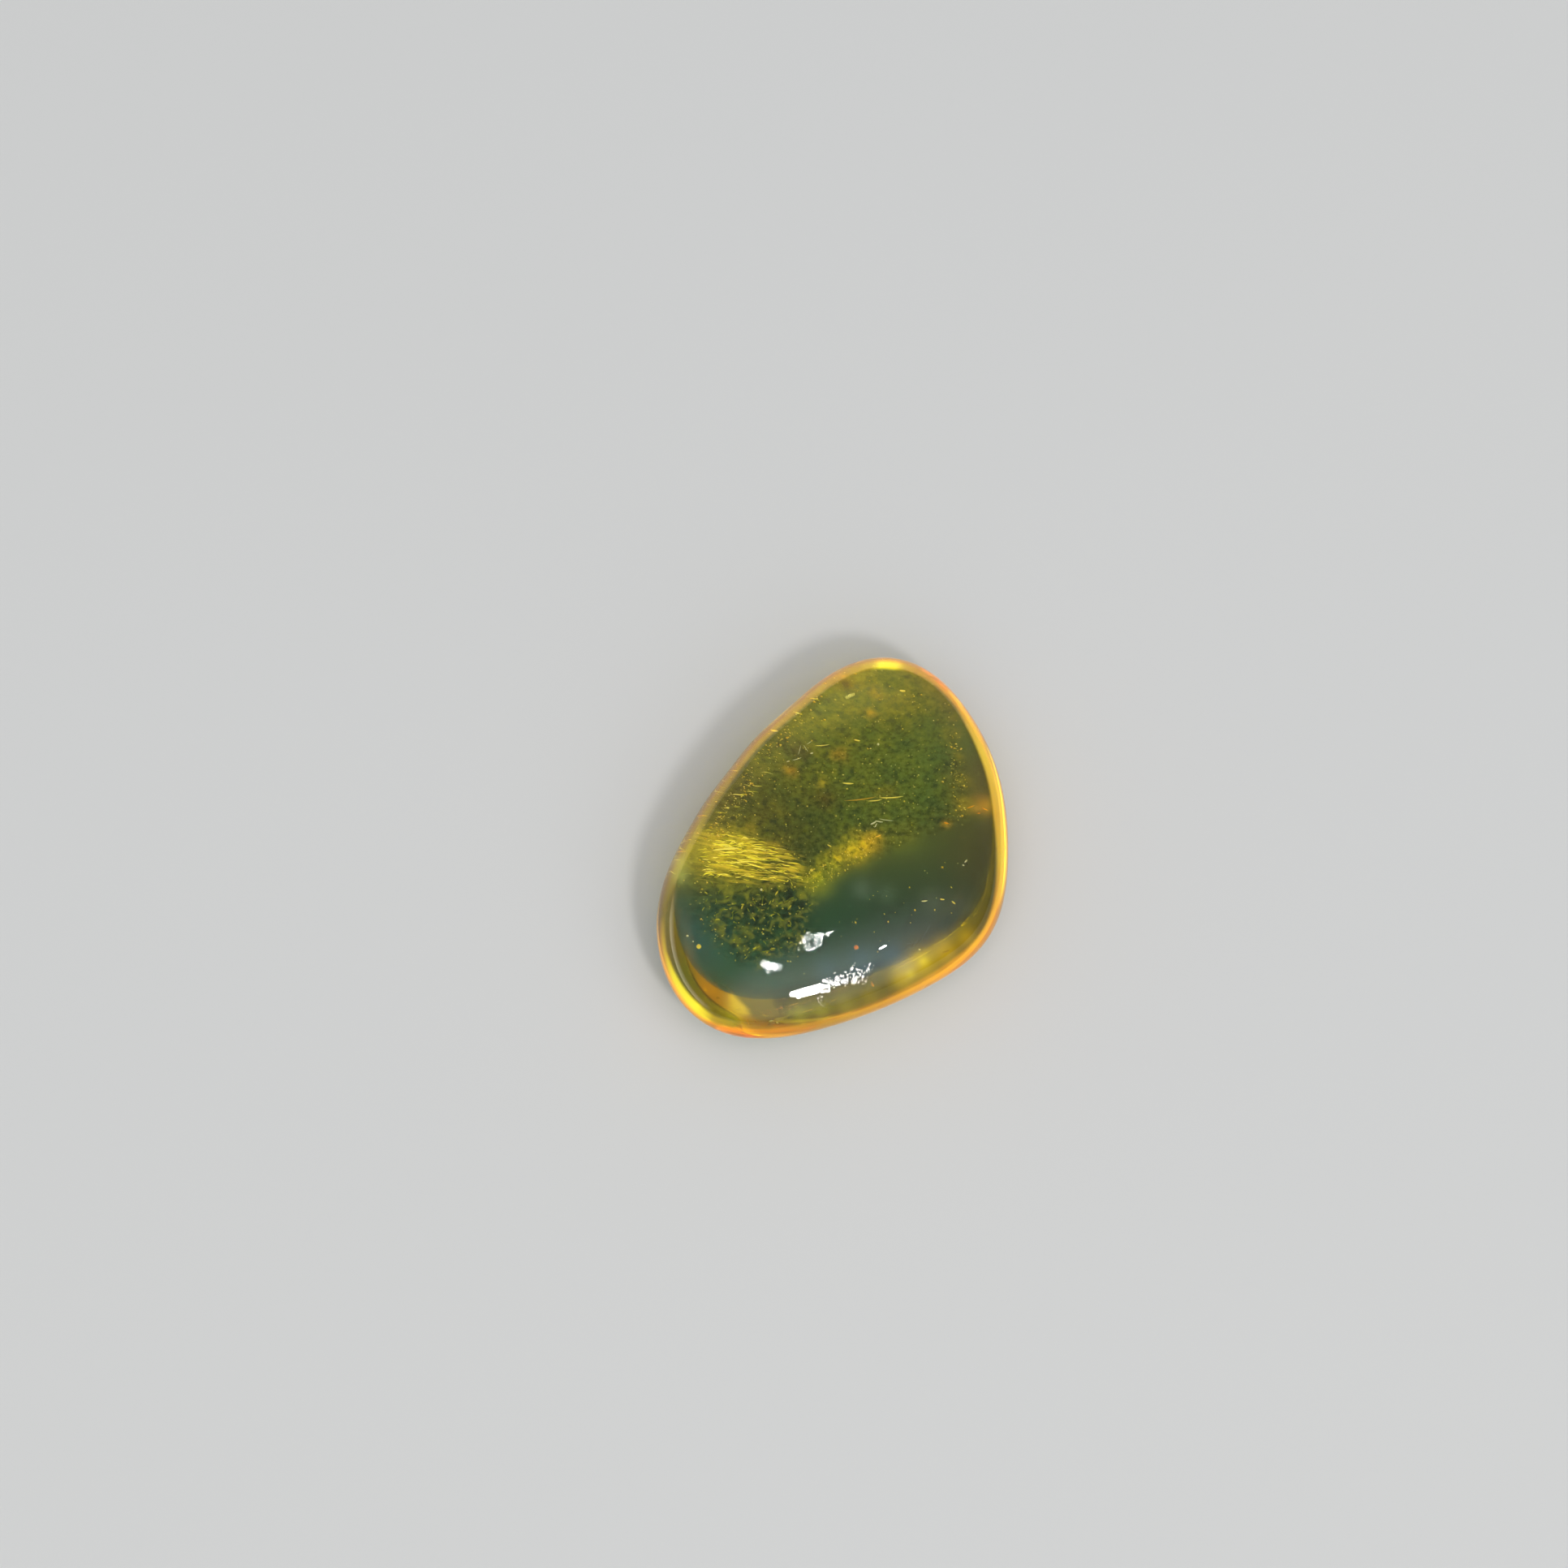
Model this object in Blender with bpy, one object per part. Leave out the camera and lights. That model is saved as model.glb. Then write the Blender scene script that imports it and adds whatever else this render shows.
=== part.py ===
"""A polished amber pebble: one solid piece of clear resin, resting on its flat belly.

Metres, +Z up. The origin is the middle of the pebble's footprint, on the surface that it rests on.
+X runs across the pebble and +Y along it, towards its narrow end.
The build works from the belly up: rings that follow the rounded outline, drawn in or out and raised.
"""

import math

import bmesh
import bpy
import numpy as np

MM = 0.001

# The rounded triangular outline at the girdle: its radius in mm every 20 degrees from +X.
OUTLINE_RADII_MM = (
    13.5, 14.0, 15.2, 16.9, 16.7, 13.3,
    11.2, 10.3, 10.5, 11.7, 14.2, 16.9,
    18.2, 16.5, 14.7, 14.1, 14.3, 13.9,
)

THICKNESS = 9.0 * MM
GIRDLE_HEIGHT = 3.8 * MM  # where the pebble is widest
BELLY_SHARE = 0.42  # the flat belly's outline beside the girdle's
CROWN_FULLNESS = 2.6  # 2 is an ellipse in section, and more is flatter on top and rounder at the rim
KEEL_FULLNESS = 2.2  # the same for the underside
LEAN_PER_METRE = 5.0  # the share of its height that the crown gains towards the broad end

# The slow unevenness that polishing by hand leaves on the crown: depth, and waves as
# (waves per metre along X, waves per metre along Y, phase in turns).
WAVE_DEPTH = 0.11 * MM
WAVES = ((62.0, 18.0, 0.10), (-25.0, 71.0, 0.35), (48.0, -55.0, 0.80))

AROUND = 96  # vertices in each ring
KEEL_RINGS = 12
CROWN_RINGS = 22
TOP_RING_SHARE = 0.05  # the last ring before the summit, beside the girdle

AMBER_COLOUR = (0.80, 0.52, 0.06, 1.0)
AMBER_ROUGHNESS = 0.04
AMBER_IOR = 1.54


def clear_scene():
    for obj in list(bpy.data.objects):
        bpy.data.objects.remove(obj)


def outline_radius(angle):
    """The smooth closed curve through the stated radii: their mean plus one wave for each number of lobes."""
    radii = np.array(OUTLINE_RADII_MM) * MM
    waves = np.fft.rfft(radii) / len(radii)
    radius = np.full_like(angle, waves[0].real)
    for lobes in range(1, len(waves)):
        weight = 1.0 if 2 * lobes == len(radii) else 2.0
        radius += weight * (waves[lobes] * np.exp(1j * lobes * angle)).real
    return radius


def girdle():
    """The outline's X and Y, moved so that its box is centred on the origin."""
    angle = np.arange(AROUND) * 2 * math.pi / AROUND
    radius = outline_radius(angle)
    outline = np.stack([radius * np.cos(angle), radius * np.sin(angle)], axis=1)
    return outline - (outline.min(axis=0) + outline.max(axis=0)) / 2


def unevenness(x, y):
    """The height that the slow waves add to the crown, as the mean of their sines."""
    waves = [np.sin(2 * math.pi * (across * x + along * y + phase)) for across, along, phase in WAVES]
    return WAVE_DEPTH * sum(waves) / len(waves)


def keel_rings(outline):
    """Rings from the belly's flat edge out to the girdle, along a quarter of a superellipse."""
    rings = []
    for climb in np.linspace(math.pi / 2, 0, KEEL_RINGS + 1):
        share = BELLY_SHARE + (1 - BELLY_SHARE) * math.cos(climb) ** (2 / KEEL_FULLNESS)
        height = GIRDLE_HEIGHT * (1 - math.sin(climb))
        rings.append(np.column_stack([outline * share, np.full(AROUND, height)]))
    return rings


def crown_rings(outline):
    """Rings from just above the girdle up to the last small one round the summit."""
    steepest = math.acos(TOP_RING_SHARE ** (CROWN_FULLNESS / 2))
    rings = []
    for step in range(1, CROWN_RINGS + 1):
        climb = steepest * step / CROWN_RINGS
        share = math.cos(climb) ** (2 / CROWN_FULLNESS)
        rings.append(crown_points(outline * share, share, math.sin(climb)))
    return rings


def crown_points(places, share, climb):
    """Points of the crown at these X and Y: the dome's height, its lean, and the unevenness away from the rim."""
    x, y = places[:, 0], places[:, 1]
    rise = (THICKNESS - GIRDLE_HEIGHT) * climb * (1 - LEAN_PER_METRE * y)
    return np.column_stack([x, y, GIRDLE_HEIGHT + rise + unevenness(x, y) * (1 - share**4)])


def pebble_mesh():
    """The rings joined by bands of quads, with one flat face for the belly and a fan at the summit."""
    outline = girdle()
    rings = keel_rings(outline) + crown_rings(outline)
    summit = crown_points(np.zeros((1, 2)), 0.0, 1.0)[0]
    made = bmesh.new()
    loops = [[made.verts.new(point) for point in ring] for ring in rings]
    top = made.verts.new(summit)
    made.faces.new(reversed(loops[0]))
    for lower, upper in zip(loops, loops[1:]):
        for here in range(AROUND):
            after = (here + 1) % AROUND
            made.faces.new((lower[here], lower[after], upper[after], upper[here]))
    for here in range(AROUND):
        made.faces.new((loops[-1][here], loops[-1][(here + 1) % AROUND], top))
    mesh = bpy.data.meshes.new("amber")
    made.to_mesh(mesh)
    made.free()
    return mesh


def amber_material():
    material = bpy.data.materials.new("amber")
    material.use_nodes = True
    shader = material.node_tree.nodes["Principled BSDF"]
    shader.inputs["Base Color"].default_value = AMBER_COLOUR
    shader.inputs["Roughness"].default_value = AMBER_ROUGHNESS
    shader.inputs["Metallic"].default_value = 0.0
    shader.inputs["IOR"].default_value = AMBER_IOR
    shader.inputs["Transmission Weight"].default_value = 1.0
    return material


def main():
    clear_scene()
    mesh = pebble_mesh()
    mesh.materials.append(amber_material())
    mesh.shade_smooth()
    mesh.set_sharp_from_angle(angle=math.radians(30))
    pebble = bpy.data.objects.new("amber", mesh)
    bpy.context.scene.collection.objects.link(pebble)


main()
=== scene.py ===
import math

import bpy
import numpy as np
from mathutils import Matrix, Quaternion, Vector


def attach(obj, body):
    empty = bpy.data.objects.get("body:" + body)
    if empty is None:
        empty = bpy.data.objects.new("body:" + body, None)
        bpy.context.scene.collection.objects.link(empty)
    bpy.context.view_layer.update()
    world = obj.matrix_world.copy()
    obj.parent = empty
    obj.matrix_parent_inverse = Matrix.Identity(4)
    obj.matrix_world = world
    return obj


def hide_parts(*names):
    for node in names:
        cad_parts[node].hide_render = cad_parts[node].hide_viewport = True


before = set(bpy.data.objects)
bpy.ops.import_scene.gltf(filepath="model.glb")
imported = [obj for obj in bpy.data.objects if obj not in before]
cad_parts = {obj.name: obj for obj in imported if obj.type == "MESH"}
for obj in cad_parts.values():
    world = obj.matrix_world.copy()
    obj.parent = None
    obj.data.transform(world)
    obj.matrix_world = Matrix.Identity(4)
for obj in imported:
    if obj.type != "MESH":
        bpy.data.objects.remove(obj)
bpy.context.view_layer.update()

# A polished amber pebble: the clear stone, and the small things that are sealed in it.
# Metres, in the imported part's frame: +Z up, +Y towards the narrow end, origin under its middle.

MM = 0.001

# The stone's shape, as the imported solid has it.
OUTLINE_RADII_MM = (
    13.5, 14.0, 15.2, 16.9, 16.7, 13.3,
    11.2, 10.3, 10.5, 11.7, 14.2, 16.9,
    18.2, 16.5, 14.7, 14.1, 14.3, 13.9,
)
THICKNESS = 9.0 * MM
GIRDLE_HEIGHT = 3.8 * MM
BELLY_SHARE = 0.42
CROWN_FULLNESS = 2.6
KEEL_FULLNESS = 2.2
LEAN_PER_METRE = 5.0
WAVE_DEPTH = 0.11 * MM
WAVES = ((62.0, 18.0, 0.10), (-25.0, 71.0, 0.35), (48.0, -55.0, 0.80))

AROUND = 400
BELLY_RINGS = 40
KEEL_RINGS = 50
CROWN_RINGS = 150

AMBER_IOR = 1.54
INSIDE_COLOUR = (0.985, 0.91, 0.05, 1.0)
INSIDE_DENSITY = 100.0
CLEAR = (1.0, 0.97, 0.86)  # the crown's own tint
GOLD = (0.36, 0.38, 0.09)  # the crown's tint near the rim
ORANGE = (0.48, 0.30, 0.01)  # and right at it
GOLD_SHARES = (0.80, 0.97)  # how far out the clear tint goes over to the golden one, as shares of the girdle
ORANGE_SHARES = (0.97, 1.0)
SKIN_HEIGHTS = (GIRDLE_HEIGHT - 1.1 * MM, GIRDLE_HEIGHT - 0.1 * MM)  # the zones give way to the skin here
PLAIN_TINT = (0.5, 0.5, 0.2)  # the underside's tint far from every zone
PLAIN_WEIGHT = 0.02

# The camera, from the photograph's frame.
FRAME_PIXELS = 1932
PIXELS_PER_MM = 16.0
VIEW_ELEVATION = math.radians(60.0)
LENS_MM = 100.0
SENSOR_MM = 36.0
MIDDLE_PIXEL = (1026.64, 1034.42)  # where the middle of the stone lies in the picture

# The tints that the amber's underside gives to what is seen through it: pixel, reach in pixels, colour.
TINT_ZONES = (
    ((1095, 850), 40, (0.25, 0.28, 0.03)),
    ((1000, 925), 50, (0.20, 0.245, 0.035)),
    ((915, 1000), 38, (0.20, 0.20, 0.05)),
    ((1060, 955), 60, (0.10, 0.20, 0.045)),
    ((960, 1010), 50, (0.028, 0.068, 0.035)),
    ((1140, 930), 40, (0.085, 0.175, 0.08)),
    ((1208, 955), 20, (0.15, 0.11, 0.08)),
    ((1205, 1045), 30, (0.06, 0.07, 0.07)),
    ((1180, 960), 7, (0.34, 0.36, 0.07)),
    ((1173, 905), 6, (0.30, 0.32, 0.06)),
    ((1188, 992), 7, (0.36, 0.36, 0.07)),
    ((1052, 1046), 11, (0.95, 0.95, 0.08)),
    ((1074, 1038), 8, (0.90, 0.70, 0.07)),
    ((1024, 1064), 9, (0.74, 0.86, 0.09)),
    ((1003, 1084), 11, (0.62, 0.78, 0.09)),
    ((1110, 1032), 12, (0.20, 0.26, 0.07)),
    ((905, 1052), 22, (0.66, 0.70, 0.09)),
    ((868, 1035), 12, (0.55, 0.54, 0.10)),
    ((965, 1062), 14, (0.22, 0.25, 0.07)),
    ((1120, 1075), 34, (0.045, 0.08, 0.085)),
    ((1130, 1130), 38, (0.006, 0.05, 0.22)),
    ((1030, 1140), 45, (0.008, 0.07, 0.20)),
    ((925, 1125), 38, (0.008, 0.06, 0.07)),
    ((855, 1150), 22, (0.015, 0.11, 0.55)),
    ((920, 1200), 40, (0.015, 0.12, 0.38)),
)

# Small soft blotches over the zones: pixel, reach in pixels, colour.
BLOTCHES = (
    ((1079, 854), 4, (0.8, 0.5, 0.05)), ((1073, 878), 3, (0.85, 0.5, 0.04)),
    ((974, 949), 5, (0.34, 0.25, 0.05)), ((1043, 843), 5, (0.12, 0.06, 0.01)),
    ((1035, 832), 3, (0.7, 0.4, 0.04)), ((1092, 975), 8, (0.24, 0.26, 0.05)),
    ((1017, 985), 9, (0.12, 0.11, 0.03)), ((1012, 966), 4, (0.55, 0.5, 0.06)),
    ((1213, 990), 7, (0.62, 0.32, 0.06)), ((1203, 996), 3, (0.85, 0.46, 0.08)),
    ((1222, 986), 4, (0.85, 0.48, 0.08)), ((985, 925), 9, (0.14, 0.13, 0.06)),
    ((1177, 905), 4, (0.26, 0.3, 0.05)), ((1181, 932), 4, (0.3, 0.32, 0.05)),
    ((1186, 962), 5, (0.34, 0.36, 0.06)), ((1191, 990), 5, (0.36, 0.36, 0.06)),
    ((1173, 884), 4, (0.22, 0.24, 0.05)), ((1052, 1047), 5, (0.95, 0.88, 0.07)),
    ((1064, 1041), 4, (1.0, 0.85, 0.06)), ((1032, 1057), 3, (0.9, 0.9, 0.08)),
    ((1008, 1080), 4, (0.75, 0.85, 0.09)), ((899, 1042), 9, (0.85, 0.86, 0.09)),
    ((925, 1048), 8, (0.8, 0.8, 0.09)), ((1079, 1031), 4, (1.0, 0.72, 0.06)),
    ((1166, 1015), 3, (0.85, 0.5, 0.06)), ((1035, 930), 6, (0.42, 0.32, 0.05)),
    ((1115, 1000), 8, (0.12, 0.2, 0.08)),
)

# Corners, in pixels, of the areas that the sealed things fill.
CLOUD_AREA = (
    (1090, 814), (1140, 831), (1172, 872), (1192, 955), (1190, 1012), (1125, 1035), (1060, 1060), (1000, 1095),
    (985, 1168), (905, 1188), (848, 1125), (836, 1056), (860, 1010), (882, 978), (911, 940), (943, 903),
    (982, 868), (1028, 832),
)
SCALES_AREA = ((862, 1078), (905, 1066), (960, 1072), (1005, 1100), (990, 1165), (935, 1190), (870, 1150))
STREAKS_AREA = ((862, 1028), (905, 1026), (985, 1055), (990, 1085), (930, 1085), (872, 1082))
STREAK_HEART = ((885, 1036), (925, 1038), (950, 1058), (930, 1068), (890, 1062))
EDGE_AREA = ((1178, 880), (1190, 955), (1196, 1000), (1180, 1012), (1172, 960), (1170, 900))
SEAM_AREA = ((985, 1080), (1020, 1062), (1060, 1035), (1080, 1030), (1070, 1052), (1030, 1082), (1000, 1100))
CLEAR_AREA = ((1010, 1110), (1200, 1040), (1190, 1120), (1100, 1170), (960, 1210), (880, 1190), (860, 1130))
SHOULDER_AREA = ((980, 880), (1010, 855), (960, 930), (915, 1000), (880, 1050), (866, 1035), (905, 965))

# Single flecks: pixel, half length and half width in pixels, slant in degrees, depth from 0 at the crown
# to 1 at the underside, place on the fleck material's colour scale.
FLECKS = (
    ((1045, 965), 7, 1.0, 3, 0.6, 0.3), ((1098, 982), 15, 0.8, -3, 0.6, 0.3),
    ((1078, 986), 9, 0.7, -6, 0.6, 0.3), ((1056, 912), 4, 1.0, 12, 0.7, 0.3),
    ((1013, 918), 9, 0.6, -4, 0.5, 0.3), ((954, 900), 5, 1.2, 8, 0.8, 0.3),
    ((1112, 851), 4, 1.3, 5, 0.7, 0.3), ((1022, 1042), 3, 0.9, 30, 0.7, 0.3),
    ((1060, 984), 20, 0.45, -7, 0.9, 0.48), ((861, 1166), 3, 3.0, 0, 0.8, 0.3),
    ((1000, 1072), 2, 1.8, 0, 0.7, 0.3), ((1082, 1030), 4, 0.8, -20, 0.8, 0.4),
    ((1166, 1014), 3, 1.0, 12, 0.8, 0.5), ((1055, 1167), 3, 2.8, 0, 0.7, 0.6),
    ((1075, 1213), 3, 1.4, 60, 0.5, 0.5), ((1196, 994), 5, 0.7, -20, 0.7, 0.5),
    ((1214, 997), 4, 0.6, 25, 0.7, 0.5), ((1206, 1002), 2, 0.7, -8, 0.7, 0.55),
    ((1000, 928), 2, 0.9, -15, 0.25, 0.8), ((982, 935), 6, 0.4, -17, 0.25, 0.8),
    ((985, 924), 6, 0.3, -75, 0.3, 0.8), ((993, 922), 5, 0.3, 55, 0.3, 0.8),
    ((971, 938), 2, 0.6, -20, 0.3, 0.8), ((997, 915), 4, 0.3, -35, 0.3, 0.8),
    ((1076, 1014), 4, 1.0, -28, 0.2, 0.8), ((1083, 1012), 5, 0.7, 10, 0.2, 0.8),
    ((1079, 1017), 3, 0.6, -60, 0.2, 0.8), ((1092, 1010), 9, 0.4, 8, 0.2, 0.8),
    # The pale flecks at (950, 1258) and (958, 1260), just under the crown, are painted glints.
    ((1082, 917), 1.5, 1.5, 0, 0.3, 0.8), ((950, 1258), 2.5, 1.0, -20, 0.1, 0.8),
    ((958, 1260), 1.5, 1.0, 30, 0.1, 0.8), ((1190, 1061), 2.5, 1.0, -50, 0.3, 0.8),
    ((1187, 1066), 1.5, 0.8, 20, 0.3, 0.8), ((1192, 1064), 2, 0.9, 60, 0.3, 1.0),
    ((847, 1153), 1.6, 1.3, 0, 0.3, 0.8), ((854, 1160), 1.0, 0.9, 0, 0.4, 0.8),
    ((1133, 1170), 1.5, 1.0, 0, 0.3, 0.8), ((1161, 1108), 3, 0.9, 8, 0.6, 0.3),
    ((1139, 1110), 4, 0.8, -5, 0.5, 0.8), ((1175, 1112), 3, 1.0, 40, 0.6, 0.3),
    ((938, 1096), 1.6, 1.6, 0, 0.4, 0.8), ((1165, 1172), 5, 1.2, -15, 0.5, 1.0),
    ((1120, 1178), 3, 1.0, 25, 0.5, 1.0), ((1228, 1046), 3, 0.8, 70, 0.3, 1.0),
)

# Painted light: a glow painted on the skin at the stone's rim, all round the picture of it: bearing in degrees
# from the picture's right, strength, yellowness, depth in pixels, and the strength of a soft tail further in.
PAINTED_RIM_LIGHT = (
    (-30, 0.42, 0.1, 11, 0.18), (-22, 0.46, 0.05, 12, 0.05), (-7, 0.54, 0.95, 14, 0.02),
    (9, 0.54, 0.65, 16, 0.08), (31, 0.56, 1.1, 14, 0.0), (40, 0.52, 0.7, 12, 0.05),
    (47, 0.44, 0.2, 9, 0.14), (56, 0.4, 0.15, 9, 0.14), (64, 0.34, 0.25, 11, 0.12),
    (67.5, 0.42, 0.8, 12, 0.12), (70, 0.8, 1.7, 14, 0.12), (75, 0.85, 1.9, 14, 0.12),
    (77.5, 0.45, 1.0, 13, 0.12), (82, 0.32, 0.5, 13, 0.1), (100, 0.3, 0.45, 12, 0.08),
    (118, 0.3, 0.45, 11, 0.06), (145, 0.24, 0.5, 11, 0.05), (168, 0.16, 0.8, 13, 0.05),
    (185, 0.13, 1.1, 14, 0.07), (193, 0.1, 1.2, 14, 0.07), (204, 0.07, 1.0, 9, 0.0),
    (214, 0.5, 1.2, 9, 0.0), (221, 0.78, 1.8, 12, 0.0), (231, 0.92, 1.9, 15, 0.0),
    (236, 0.34, 1.3, 14, 0.0), (242, 0.12, 1.0, 18, 0.02), (260, 0.07, 0.8, 12, 0.09),
    (284, 0.12, 0.4, 11, 0.14), (300, 0.24, 0.15, 12, 0.18), (315, 0.36, 0.1, 13, 0.26),
)
RIM_FADE = 2.5  # pixels before and after its depth in which the light ends
RIM_RISE = (-1.5, 6.0)  # depths in pixels between which it grows from none to full
RIM_TAIL = 11.0  # pixels in which the tail sinks to about a third
RIM_HUES = (1.5, 8.0)  # depths in pixels between which orange goes over to the row's yellowness
RIM_HEIGHTS = (GIRDLE_HEIGHT - 1.5 * MM, GIRDLE_HEIGHT - 1.0 * MM)  # below the first there is none
RIM_ORANGE = (1.0, 0.32, 0.0)
RIM_YELLOW = (1.0, 0.62, 0.01)

# Soft spots of painted light further in: a golden glow, pale wisps painted as glow and a painted blue sheen in
# front. Pixel, reach in pixels, colour.
PAINTED_LIGHT_SPOTS = (
    ((1136, 1187), 12, (0.4, 0.27, 0.0)), ((1112, 1203), 11, (0.34, 0.23, 0.0)),
    ((1164, 1172), 11, (0.3, 0.18, 0.0)), ((1190, 1154), 9, (0.2, 0.12, 0.0)),
    ((1138, 1184), 4, (0.2, 0.17, 0.0)), ((1122, 1200), 4, (0.14, 0.12, 0.0)),
    ((838, 1062), 7, (0.12, 0.13, 0.03)), ((838, 1079), 7, (0.13, 0.15, 0.04)),
    ((868, 1251), 5, (0.1, 0.1, 0.0)), ((905, 1256), 11, (0.07, 0.08, 0.0)),
    ((985, 1251), 9, (0.16, 0.15, 0.01)), ((1012, 1247), 9, (0.14, 0.13, 0.01)),
    ((1042, 1239), 11, (0.12, 0.1, 0.01)), ((1072, 1228), 10, (0.1, 0.07, 0.0)),
    ((1215, 994), 6, (0.16, 0.08, 0.0)), ((1062, 1096), 9, (0.03, 0.035, 0.03)),
    ((1092, 1101), 8, (0.02, 0.028, 0.02)), ((1148, 1110), 11, (0.03, 0.03, 0.022)),
    ((1182, 1117), 12, (0.03, 0.028, 0.02)), ((1062, 1186), 14, (0.01, 0.035, 0.06)),
    ((1100, 1180), 12, (0.0, 0.03, 0.06)), ((1020, 1196), 13, (0.01, 0.03, 0.05)),
    ((1118, 1192), 9, (0.05, 0.05, 0.05)),
)

# Lamps that show as white glints: the pixel where the crown mirrors each, width and height in metres, roll
# in degrees, and brightness as a multiple of plain white.
GLINTS = (
    ((999, 1221), 0.165, 0.26, 48, 1.0), ((950, 1190), 0.055, 0.065, 30, 2.2),
    ((1000, 1160), 0.1, 0.045, -25, 1.8), ((1088, 1167), 0.03, 0.022, 20, 2.0),
)

# Spots of the crown that the polish left rough: pixel, reach in pixels, how rough.
ROUGH_SPOTS = (
    ((939, 1184), 5, 0.22), ((962, 1196), 5, 0.22), ((947, 1199), 4, 0.22), ((1000, 1160), 10, 0.26),
    ((953, 1260), 5, 0.6), ((1012, 1238), 5, 0.7), ((1020, 1213), 7, 0.3), ((1036, 1204), 8, 0.34),
    ((1054, 1196), 8, 0.34), ((1072, 1190), 6, 0.24), ((1062, 1210), 7, 0.35), ((985, 1228), 6, 0.06),
)

ROUGH_SCALE = 2600.0
ROUGH_LEVEL = 0.3  # the share of the noise that is taken off, so that dents go both ways
ROUGH_DEPTH = 0.22 * MM

# The light: a soft room, brighter in two directions, a lamp that lights the floor, and the glints' lamps.
SKY = ((0.0, (0.26, 0.25, 0.24)), (0.22, (0.36, 0.36, 0.36)), (0.60, (0.27, 0.30, 0.33)))  # by height
FRONT_GLOW = (0.2, -0.72, 0.66)  # towards the middle of the glow in front of the stone
FRONT_STOPS = ((0.60, (0, 0, 0)), (0.97, (1.3, 1.3, 1.3)))
SIDE_GLOW = (-1.0, -0.09, 0.0)  # towards the bright part of the horizon, to the left of the stone
SIDE_STOPS = ((0.75, (0, 0, 0)), (0.95, (4.0, 3.8, 3.3)))
HORIZON_STOPS = ((0.0, (1, 1, 1)), (0.18, (0, 0, 0)))  # by height: keeps the side glow low
KEY_DISTANCE = 1.1
KEY_SIZE = 0.15
KEY_WATTS = 3.0
GLINT_DISTANCE = 0.9
WHITE_WATTS = 225.0  # for a square metre of lamp that shows as plain white from the glints' distance

# How many of each sealed thing, by area.
GRAIN_COUNTS = (
    (CLOUD_AREA, 520), (SHOULDER_AREA, 170), (EDGE_AREA, 80), (SEAM_AREA, 150), (SCALES_AREA, 40),
    (CLEAR_AREA, 50),
)
HEART_COUNT = 30
STREAK_COUNTS = ((STREAK_HEART, HEART_COUNT), (STREAKS_AREA, 170), (SHOULDER_AREA, 14))
NET_MIDDLES = 60
NET_SPOTS = 6000
NET_NEARNESS = 1.8  # pixels from the edge between two middles
NET_SLIVERS = 110

# The sealed things' colours, as stops of a scale from 0 to 1.
GRAIN_COLOURS = ((0.0, (0.75, 0.62, 0.10)), (0.6, (0.95, 0.88, 0.25)), (1.0, (1.0, 0.97, 0.60)))
SPLINTER_COLOURS = ((0.0, (0.50, 0.55, 0.06)), (0.6, (1.0, 0.98, 0.20)), (1.0, (1.0, 1.0, 0.55)))
STRAND_COLOURS = ((0.0, (0.13, 0.20, 0.04)), (0.75, (0.30, 0.35, 0.07)), (1.0, (0.85, 0.80, 0.20)))
FLECK_COLOURS = (
    (0.30, (1.0, 0.93, 0.35)), (0.50, (0.95, 0.48, 0.05)), (0.60, (0.75, 0.25, 0.05)),
    (0.78, (0.85, 0.88, 0.85)), (0.82, (0.85, 0.88, 0.85)), (0.95, (0.08, 0.05, 0.01)),
    (1.0, (0.02, 0.02, 0.01)),
)

HALVINGS = 40
SLOPE_STEP = 0.03  # radians each way, for how aslant the picture's outline runs

rng = np.random.default_rng(7)


# The camera


def view_axes():
    """The camera's forward, right and up, looking along +Y and down."""
    forward = np.array([0.0, math.cos(VIEW_ELEVATION), -math.sin(VIEW_ELEVATION)])
    right = np.array([1.0, 0.0, 0.0])
    return forward, right, np.cross(right, forward)


def camera_place():
    """The point from which a millimetre at the stone covers the stated number of pixels."""
    forward, right, up = view_axes()
    distance = LENS_MM / SENSOR_MM * FRAME_PIXELS / PIXELS_PER_MM * MM
    across = (MIDDLE_PIXEL[0] - FRAME_PIXELS / 2) / PIXELS_PER_MM * MM
    down = (MIDDLE_PIXEL[1] - FRAME_PIXELS / 2) / PIXELS_PER_MM * MM
    target = np.array([0.0, 0.0, THICKNESS / 2]) - right * across + up * down
    return target - forward * distance


def make_camera():
    """The photograph's camera: a long lens, level from side to side."""
    data = bpy.data.cameras.new("camera")
    data.lens = LENS_MM
    data.sensor_width = SENSOR_MM
    data.clip_start = 0.01
    data.clip_end = 20.0
    camera = bpy.data.objects.new("camera", data)
    forward = Vector(view_axes()[0])
    camera.location = Vector(camera_place())
    camera.rotation_mode = "QUATERNION"
    camera.rotation_quaternion = forward.to_track_quat("-Z", "Y")
    bpy.context.scene.collection.objects.link(camera)
    bpy.context.scene.camera = camera


def in_picture(points):
    """The pixels of the photograph's frame at which these points show."""
    forward, right, up = view_axes()
    away = points - camera_place()
    scale = LENS_MM / SENSOR_MM * FRAME_PIXELS / (away @ forward)
    return np.stack([FRAME_PIXELS / 2 + away @ right * scale, FRAME_PIXELS / 2 - away @ up * scale], axis=1)


def view_rays(pixels):
    """Unit directions from the camera through these pixels of the photograph's frame."""
    forward, right, up = view_axes()
    pixels = np.asarray(pixels, float)
    focal = LENS_MM / SENSOR_MM * FRAME_PIXELS
    across = (pixels[:, 0] - FRAME_PIXELS / 2) / focal
    down = (pixels[:, 1] - FRAME_PIXELS / 2) / focal
    rays = forward + across[:, None] * right - down[:, None] * up
    return rays / np.linalg.norm(rays, axis=1)[:, None]


# The stone's surface as formulas


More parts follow.
